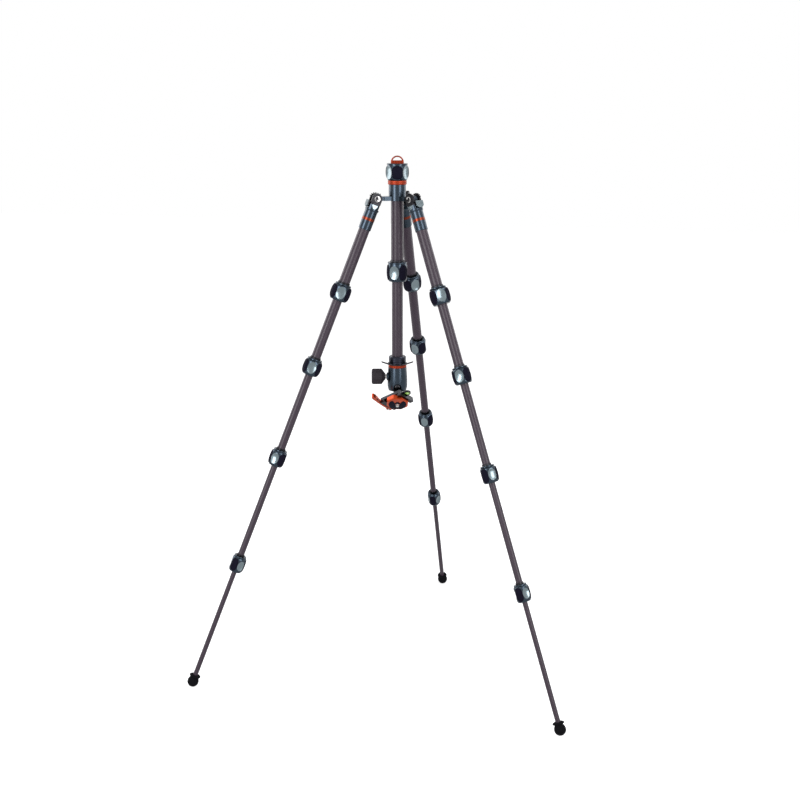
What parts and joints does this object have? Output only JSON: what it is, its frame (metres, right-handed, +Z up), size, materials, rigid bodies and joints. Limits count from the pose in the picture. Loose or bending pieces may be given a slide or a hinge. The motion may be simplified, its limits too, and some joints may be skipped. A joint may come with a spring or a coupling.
{
  "type": "travel tripod",
  "caption": "Folding travel tripod with telescoping twist-lock legs, a sliding centre column with a bag hook, and an inverted ball head with a quick-release camera clamp.",
  "frame": {"origin": "on the floor, under the middle of the stand's bounding box; the column axis stands a quarter of the foot circle's radius toward -Y of it", "axes": "+Z up; +Y along the rear leg, toward its foot; +X to the right when the stand is seen from its front, from -Y"},
  "size_m": [0.7772, 0.6762, 1.0652],
  "materials": {
    "anodised_metal": "blue-grey satin anodised aluminium",
    "orange_anodised": "orange satin anodised aluminium",
    "black_anodised": "black anodised aluminium",
    "carbon_tube": "dark woven carbon fibre, satin lacquer",
    "black_rubber": "black moulded rubber",
    "bright_steel": "bright machined steel",
    "level_fluid": "clear green level vial"
  },
  "bodies": {
    "stand_hub": {"hub": "anodised_metal", "hinge_bolts": "bright_steel"},
    "column_bush": {"column_bush": "orange_anodised"},
    "hub_lock_knob": {"hub_lock_knob": "anodised_metal"},
    "upper_column": {"column_outer_tube": "carbon_tube"},
    "bag_hook": {"bag_hook": "orange_anodised"},
    "column_lock": {"column_lock": "anodised_metal"},
    "lower_column": {"column_inner_tube": "carbon_tube", "mounting_platform": "anodised_metal", "guard_plate": "black_anodised", "head_base": "orange_anodised"},
    "ball_housing": {"head_housing": "anodised_metal"},
    "head_lock_knob": {"head_lock_knob": "black_rubber"},
    "ball": {"head_ball": "bright_steel"},
    "neck": {"ball_neck": "black_anodised"},
    "clamp": {"clamp_body": "black_anodised", "bubble_level": "level_fluid"},
    "clamp_jaw": {"clamp_jaw": "black_anodised"},
    "clamp_lever": {"clamp_lever": "orange_anodised"},
    "camera_plate": {"camera_plate": "orange_anodised"},
    "camera_screw": {"camera_screw": "bright_steel"},
    "leg_1": {"leg_1_shoulder": "anodised_metal", "leg_1_accent_ring": "orange_anodised", "leg_1_section_1": "carbon_tube"},
    "leg_1_latch": {"leg_1_latch": "black_anodised"},
    "leg_1_lock_1": {"leg_1_lock_1": "anodised_metal"},
    "leg_1_section_2": {"leg_1_section_2": "carbon_tube"},
    "leg_1_lock_2": {"leg_1_lock_2": "anodised_metal"},
    "leg_1_section_3": {"leg_1_section_3": "carbon_tube"},
    "leg_1_lock_3": {"leg_1_lock_3": "anodised_metal"},
    "leg_1_section_4": {"leg_1_section_4": "carbon_tube"},
    "leg_1_lock_4": {"leg_1_lock_4": "anodised_metal"},
    "leg_1_section_5": {"leg_1_section_5": "carbon_tube", "leg_1_foot": "black_rubber"},
    "leg_2": {"leg_2_shoulder": "anodised_metal", "leg_2_accent_ring": "orange_anodised", "leg_2_section_1": "carbon_tube"},
    "leg_2_latch": {"leg_2_latch": "black_anodised"},
    "leg_2_lock_1": {"leg_2_lock_1": "anodised_metal"},
    "leg_2_section_2": {"leg_2_section_2": "carbon_tube"},
    "leg_2_lock_2": {"leg_2_lock_2": "anodised_metal"},
    "leg_2_section_3": {"leg_2_section_3": "carbon_tube"},
    "leg_2_lock_3": {"leg_2_lock_3": "anodised_metal"},
    "leg_2_section_4": {"leg_2_section_4": "carbon_tube"},
    "leg_2_lock_4": {"leg_2_lock_4": "anodised_metal"},
    "leg_2_section_5": {"leg_2_section_5": "carbon_tube", "leg_2_foot": "black_rubber"},
    "leg_3": {"leg_3_shoulder": "anodised_metal", "leg_3_accent_ring": "orange_anodised", "leg_3_section_1": "carbon_tube"},
    "leg_3_latch": {"leg_3_latch": "black_anodised"},
    "leg_3_lock_1": {"leg_3_lock_1": "anodised_metal"},
    "leg_3_section_2": {"leg_3_section_2": "carbon_tube"},
    "leg_3_lock_2": {"leg_3_lock_2": "anodised_metal"},
    "leg_3_section_3": {"leg_3_section_3": "carbon_tube"},
    "leg_3_lock_3": {"leg_3_lock_3": "anodised_metal"},
    "leg_3_section_4": {"leg_3_section_4": "carbon_tube"},
    "leg_3_lock_4": {"leg_3_lock_4": "anodised_metal"},
    "leg_3_section_5": {"leg_3_section_5": "carbon_tube", "leg_3_foot": "black_rubber"}
  },
  "joints": [
    {"name": "column_turn", "type": "hinge", "parent": "stand_hub", "child": "column_bush", "pos_m": [0, -0.10887, 0.9837], "axis": [0, 0, 1], "continuous": true},
    {"name": "hub_knob_turn", "type": "hinge", "parent": "column_bush", "child": "hub_lock_knob", "pos_m": [0, -0.10887, 0.9837], "axis": [0, 0, 1], "range_deg": [0, 90]},
    {"name": "column_slide", "type": "slide", "parent": "column_bush", "child": "upper_column", "axis": [0, 0, 1], "range_m": [0, 0.1156]},
    {"name": "bag_hook_turn", "type": "hinge", "parent": "upper_column", "child": "bag_hook", "pos_m": [0, -0.10887, 0.9837], "axis": [0, 0, 1], "continuous": true},
    {"name": "column_lock_turn", "type": "hinge", "parent": "upper_column", "child": "column_lock", "pos_m": [0, -0.10887, 0.9837], "axis": [0, 0, 1], "range_deg": [0, 120]},
    {"name": "lower_column_slide", "type": "slide", "parent": "upper_column", "child": "lower_column", "axis": [0, 0, 1], "range_m": [0, 0.1509]},
    {"name": "head_pan", "type": "hinge", "parent": "lower_column", "child": "ball_housing", "pos_m": [0, -0.10887, 0.9837], "axis": [0, 0, 1], "continuous": true},
    {"name": "head_knob_turn", "type": "hinge", "parent": "ball_housing", "child": "head_lock_knob", "pos_m": [0, -0.10887, 0.62775], "axis": [-0.9659, -0.2588, 0], "range_deg": [0, 180]},
    {"name": "ball_tilt", "type": "hinge", "parent": "ball_housing", "child": "ball", "pos_m": [0, -0.10887, 0.60825], "axis": [-0.9659, -0.2588, 0], "range_deg": [-84, 46]},
    {"name": "ball_side_tilt", "type": "hinge", "parent": "ball", "child": "neck", "pos_m": [0, -0.10887, 0.60825], "axis": [0.1862, -0.6948, 0.6947], "range_deg": [-8, 8]},
    {"name": "ball_swivel", "type": "hinge", "parent": "neck", "child": "clamp", "pos_m": [0, -0.10887, 0.60825], "axis": [0.1798, -0.671, -0.7193], "continuous": true},
    {"name": "clamp_lever_turn", "type": "hinge", "parent": "clamp", "child": "clamp_lever", "pos_m": [-0.01757, -0.11335, 0.56174], "axis": [0.1798, -0.671, -0.7193], "range_deg": [0, 100]},
    {"name": "clamp_jaw_slide", "type": "slide", "parent": "clamp", "child": "clamp_jaw", "axis": [-0.8424, 0.2726, -0.4648], "range_m": [0, 0.0012]},
    {"name": "camera_plate_slide", "type": "slide", "parent": "clamp", "child": "camera_plate", "axis": [0.508, 0.6895, -0.5162], "range_m": [-0.012, 0.012]},
    {"name": "camera_screw_turn", "type": "hinge", "parent": "camera_plate", "child": "camera_screw", "pos_m": [0.00782, -0.13806, 0.57696], "axis": [0.1798, -0.671, -0.7193], "continuous": true},
    {"name": "leg_1_spread", "type": "hinge", "parent": "stand_hub", "child": "leg_1", "pos_m": [0, -0.06617, 0.9837], "axis": [1, 0, 0], "range_deg": [-17, 158]},
    {"name": "leg_1_latch_pull", "type": "slide", "parent": "leg_1", "child": "leg_1_latch", "axis": [0, 0.3746, -0.9272], "range_m": [0, 0.004], "stiffness_N_per_m": 300, "springref_m": -0.002},
    {"name": "leg_1_lock_1_turn", "type": "hinge", "parent": "leg_1", "child": "leg_1_lock_1", "pos_m": [0, -0.06617, 0.9837], "axis": [0, 0.3746, -0.9272], "range_deg": [0, 120]},
    {"name": "leg_1_section_2_slide", "type": "slide", "parent": "leg_1", "child": "leg_1_section_2", "axis": [0, -0.3746, 0.9272], "range_m": [0, 0.1198]},
    {"name": "leg_1_lock_2_turn", "type": "hinge", "parent": "leg_1_section_2", "child": "leg_1_lock_2", "pos_m": [0, -0.06617, 0.9837], "axis": [0, 0.3746, -0.9272], "range_deg": [0, 120]},
    {"name": "leg_1_section_3_slide", "type": "slide", "parent": "leg_1_section_2", "child": "leg_1_section_3", "axis": [0, -0.3746, 0.9272], "range_m": [0, 0.1578]},
    {"name": "leg_1_lock_3_turn", "type": "hinge", "parent": "leg_1_section_3", "child": "leg_1_lock_3", "pos_m": [0, -0.06617, 0.9837], "axis": [0, 0.3746, -0.9272], "range_deg": [0, 120]},
    {"name": "leg_1_section_4_slide", "type": "slide", "parent": "leg_1_section_3", "child": "leg_1_section_4", "axis": [0, -0.3746, 0.9272], "range_m": [0, 0.1958]},
    {"name": "leg_1_lock_4_turn", "type": "hinge", "parent": "leg_1_section_4", "child": "leg_1_lock_4", "pos_m": [0, -0.06617, 0.9837], "axis": [0, 0.3746, -0.9272], "range_deg": [0, 120]},
    {"name": "leg_1_section_5_slide", "type": "slide", "parent": "leg_1_section_4", "child": "leg_1_section_5", "axis": [0, -0.3746, 0.9272], "range_m": [0, 0.2338]},
    {"name": "leg_2_spread", "type": "hinge", "parent": "stand_hub", "child": "leg_2", "pos_m": [-0.03698, -0.13022, 0.9837], "axis": [-0.5, 0.866, 0], "range_deg": [-17, 158]},
    {"name": "leg_2_latch_pull", "type": "slide", "parent": "leg_2", "child": "leg_2_latch", "axis": [-0.3244, -0.1873, -0.9272], "range_m": [0, 0.004], "stiffness_N_per_m": 300, "springref_m": -0.002},
    {"name": "leg_2_lock_1_turn", "type": "hinge", "parent": "leg_2", "child": "leg_2_lock_1", "pos_m": [-0.03698, -0.13022, 0.9837], "axis": [-0.3244, -0.1873, -0.9272], "range_deg": [0, 120]},
    {"name": "leg_2_section_2_slide", "type": "slide", "parent": "leg_2", "child": "leg_2_section_2", "axis": [0.3244, 0.1873, 0.9272], "range_m": [0, 0.1198]},
    {"name": "leg_2_lock_2_turn", "type": "hinge", "parent": "leg_2_section_2", "child": "leg_2_lock_2", "pos_m": [-0.03698, -0.13022, 0.9837], "axis": [-0.3244, -0.1873, -0.9272], "range_deg": [0, 120]},
    {"name": "leg_2_section_3_slide", "type": "slide", "parent": "leg_2_section_2", "child": "leg_2_section_3", "axis": [0.3244, 0.1873, 0.9272], "range_m": [0, 0.1578]},
    {"name": "leg_2_lock_3_turn", "type": "hinge", "parent": "leg_2_section_3", "child": "leg_2_lock_3", "pos_m": [-0.03698, -0.13022, 0.9837], "axis": [-0.3244, -0.1873, -0.9272], "range_deg": [0, 120]},
    {"name": "leg_2_section_4_slide", "type": "slide", "parent": "leg_2_section_3", "child": "leg_2_section_4", "axis": [0.3244, 0.1873, 0.9272], "range_m": [0, 0.1958]},
    {"name": "leg_2_lock_4_turn", "type": "hinge", "parent": "leg_2_section_4", "child": "leg_2_lock_4", "pos_m": [-0.03698, -0.13022, 0.9837], "axis": [-0.3244, -0.1873, -0.9272], "range_deg": [0, 120]},
    {"name": "leg_2_section_5_slide", "type": "slide", "parent": "leg_2_section_4", "child": "leg_2_section_5", "axis": [0.3244, 0.1873, 0.9272], "range_m": [0, 0.2338]},
    {"name": "leg_3_spread", "type": "hinge", "parent": "stand_hub", "child": "leg_3", "pos_m": [0.03698, -0.13022, 0.9837], "axis": [-0.5, -0.866, 0], "range_deg": [-17, 158]},
    {"name": "leg_3_latch_pull", "type": "slide", "parent": "leg_3", "child": "leg_3_latch", "axis": [0.3244, -0.1873, -0.9272], "range_m": [0, 0.004], "stiffness_N_per_m": 300, "springref_m": -0.002},
    {"name": "leg_3_lock_1_turn", "type": "hinge", "parent": "leg_3", "child": "leg_3_lock_1", "pos_m": [0.03698, -0.13022, 0.9837], "axis": [0.3244, -0.1873, -0.9272], "range_deg": [0, 120]},
    {"name": "leg_3_section_2_slide", "type": "slide", "parent": "leg_3", "child": "leg_3_section_2", "axis": [-0.3244, 0.1873, 0.9272], "range_m": [0, 0.1198]},
    {"name": "leg_3_lock_2_turn", "type": "hinge", "parent": "leg_3_section_2", "child": "leg_3_lock_2", "pos_m": [0.03698, -0.13022, 0.9837], "axis": [0.3244, -0.1873, -0.9272], "range_deg": [0, 120]},
    {"name": "leg_3_section_3_slide", "type": "slide", "parent": "leg_3_section_2", "child": "leg_3_section_3", "axis": [-0.3244, 0.1873, 0.9272], "range_m": [0, 0.1578]},
    {"name": "leg_3_lock_3_turn", "type": "hinge", "parent": "leg_3_section_3", "child": "leg_3_lock_3", "pos_m": [0.03698, -0.13022, 0.9837], "axis": [0.3244, -0.1873, -0.9272], "range_deg": [0, 120]},
    {"name": "leg_3_section_4_slide", "type": "slide", "parent": "leg_3_section_3", "child": "leg_3_section_4", "axis": [-0.3244, 0.1873, 0.9272], "range_m": [0, 0.1958]},
    {"name": "leg_3_lock_4_turn", "type": "hinge", "parent": "leg_3_section_4", "child": "leg_3_lock_4", "pos_m": [0.03698, -0.13022, 0.9837], "axis": [0.3244, -0.1873, -0.9272], "range_deg": [0, 120]},
    {"name": "leg_3_section_5_slide", "type": "slide", "parent": "leg_3_section_4", "child": "leg_3_section_5", "axis": [-0.3244, 0.1873, 0.9272], "range_m": [0, 0.2338]}
  ],
  "couplings": [
    {"joint": "clamp_jaw_slide", "follows": "clamp_lever_turn", "m_per_rad": 0.00068755}
  ]
}
